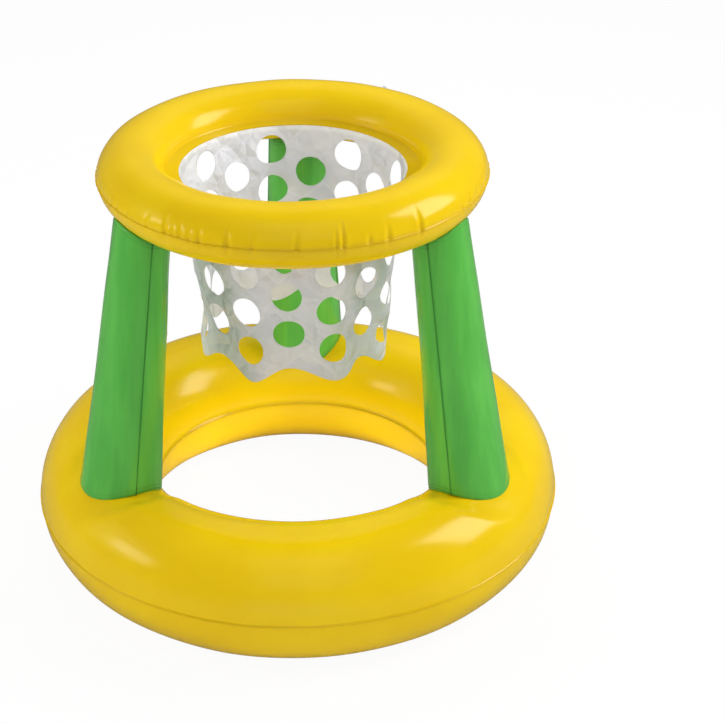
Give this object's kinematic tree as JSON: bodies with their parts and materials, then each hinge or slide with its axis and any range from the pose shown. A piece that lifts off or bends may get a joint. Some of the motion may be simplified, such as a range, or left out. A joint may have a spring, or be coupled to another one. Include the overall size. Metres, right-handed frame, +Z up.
{
  "type": "inflatable pool basketball hoop",
  "caption": "Floating inflatable hoop: a wide yellow base ring, three tapered green legs and a yellow rim ring with a punched white net; each chamber has a valve with plug and strap.",
  "frame": {"origin": "centre of the base ring's hole at the floor", "axes": "+Z up through the rim; -Y towards the gap between the left and right legs, which the picture faces"},
  "size_m": [0.67, 0.67, 0.5536],
  "materials": {
    "yellow_vinyl": "glossy welded film",
    "green_vinyl": "glossy welded film",
    "net_vinyl": "translucent milky film, satin",
    "valve_vinyl": "soft moulded, translucent white"
  },
  "bodies": {
    "skin": {"base_upper_panel": "yellow_vinyl", "base_lower_panel": "yellow_vinyl", "rim_upper_panel": "yellow_vinyl", "rim_lower_panel": "yellow_vinyl", "left_leg_outer_panel": "green_vinyl", "left_leg_inner_panel": "green_vinyl", "left_leg_foot_patch": "green_vinyl", "left_leg_head_patch": "green_vinyl", "right_leg_outer_panel": "green_vinyl", "right_leg_inner_panel": "green_vinyl", "right_leg_foot_patch": "green_vinyl", "right_leg_head_patch": "green_vinyl", "rear_leg_outer_panel": "green_vinyl", "rear_leg_inner_panel": "green_vinyl", "rear_leg_foot_patch": "green_vinyl", "rear_leg_head_patch": "green_vinyl", "hoop_net": "net_vinyl", "base_valve_flange": "valve_vinyl", "rim_valve_flange": "valve_vinyl", "left_leg_valve_flange": "valve_vinyl", "right_leg_valve_flange": "valve_vinyl", "rear_leg_valve_flange": "valve_vinyl"},
    "base_valve_stem": {"base_valve_stem": "valve_vinyl"},
    "base_valve_plug": {"base_valve_plug": "valve_vinyl"},
    "base_valve_flap": {"base_valve_flap": "valve_vinyl"},
    "rim_valve_stem": {"rim_valve_stem": "valve_vinyl"},
    "rim_valve_plug": {"rim_valve_plug": "valve_vinyl"},
    "rim_valve_flap": {"rim_valve_flap": "valve_vinyl"},
    "left_leg_valve_stem": {"left_leg_valve_stem": "valve_vinyl"},
    "left_leg_valve_plug": {"left_leg_valve_plug": "valve_vinyl"},
    "left_leg_valve_flap": {"left_leg_valve_flap": "valve_vinyl"},
    "right_leg_valve_stem": {"right_leg_valve_stem": "valve_vinyl"},
    "right_leg_valve_plug": {"right_leg_valve_plug": "valve_vinyl"},
    "right_leg_valve_flap": {"right_leg_valve_flap": "valve_vinyl"},
    "rear_leg_valve_stem": {"rear_leg_valve_stem": "valve_vinyl"},
    "rear_leg_valve_plug": {"rear_leg_valve_plug": "valve_vinyl"},
    "rear_leg_valve_flap": {"rear_leg_valve_flap": "valve_vinyl"}
  },
  "joints": [
    {"name": "base_valve_pull", "type": "slide", "parent": "skin", "child": "base_valve_stem", "axis": [0.4223, 0.7315, 0.5354], "range_m": [0, 0.008]},
    {"name": "base_valve_plug_hinge", "type": "hinge", "parent": "base_valve_stem", "child": "base_valve_plug", "pos_m": [0.15825, 0.2741, 0.13852], "axis": [0.866, -0.5, 0], "range_deg": [0, 120]},
    {"name": "base_valve_flap_hinge", "type": "hinge", "parent": "base_valve_stem", "child": "base_valve_flap", "pos_m": [0.15489, 0.26828, 0.12858], "axis": [-0.866, 0.5, 0], "range_deg": [0, 60]},
    {"name": "rim_valve_pull", "type": "slide", "parent": "skin", "child": "rim_valve_stem", "axis": [0.3946, 0.6835, 0.6141], "range_m": [0, 0.008]},
    {"name": "rim_valve_plug_hinge", "type": "hinge", "parent": "rim_valve_stem", "child": "rim_valve_plug", "pos_m": [0.11131, 0.19279, 0.5465], "axis": [0.866, -0.5, 0], "range_deg": [0, 120]},
    {"name": "rim_valve_flap_hinge", "type": "hinge", "parent": "rim_valve_stem", "child": "rim_valve_flap", "pos_m": [0.10844, 0.18782, 0.53596], "axis": [-0.866, 0.5, 0], "range_deg": [0, 60]},
    {"name": "left_leg_valve_pull", "type": "slide", "parent": "skin", "child": "left_leg_valve_stem", "axis": [0.8619, 0.4976, -0.0976], "range_m": [0, 0.008]},
    {"name": "left_leg_valve_plug_hinge", "type": "hinge", "parent": "left_leg_valve_stem", "child": "left_leg_valve_plug", "pos_m": [-0.15447, -0.08919, 0.34927], "axis": [0.5, -0.866, 0], "range_deg": [0, 120]},
    {"name": "left_leg_valve_flap_hinge", "type": "hinge", "parent": "left_leg_valve_stem", "child": "left_leg_valve_flap", "pos_m": [-0.16436, -0.09489, 0.34557], "axis": [-0.5, 0.866, 0], "range_deg": [0, 60]},
    {"name": "right_leg_valve_pull", "type": "slide", "parent": "skin", "child": "right_leg_valve_stem", "axis": [-0.8619, 0.4976, -0.0976], "range_m": [0, 0.008]},
    {"name": "right_leg_valve_plug_hinge", "type": "hinge", "parent": "right_leg_valve_stem", "child": "right_leg_valve_plug", "pos_m": [0.15447, -0.08919, 0.34927], "axis": [0.5, 0.866, 0], "range_deg": [0, 120]},
    {"name": "right_leg_valve_flap_hinge", "type": "hinge", "parent": "right_leg_valve_stem", "child": "right_leg_valve_flap", "pos_m": [0.16436, -0.09489, 0.34557], "axis": [-0.5, -0.866, 0], "range_deg": [0, 60]},
    {"name": "rear_leg_valve_pull", "type": "slide", "parent": "skin", "child": "rear_leg_valve_stem", "axis": [0, -0.9952, -0.0976], "range_m": [0, 0.008]},
    {"name": "rear_leg_valve_plug_hinge", "type": "hinge", "parent": "rear_leg_valve_stem", "child": "rear_leg_valve_plug", "pos_m": [0, 0.17837, 0.34927], "axis": [-1, 0, 0], "range_deg": [0, 120]},
    {"name": "rear_leg_valve_flap_hinge", "type": "hinge", "parent": "rear_leg_valve_stem", "child": "rear_leg_valve_flap", "pos_m": [0, 0.18979, 0.34557], "axis": [1, 0, 0], "range_deg": [0, 60]}
  ]
}
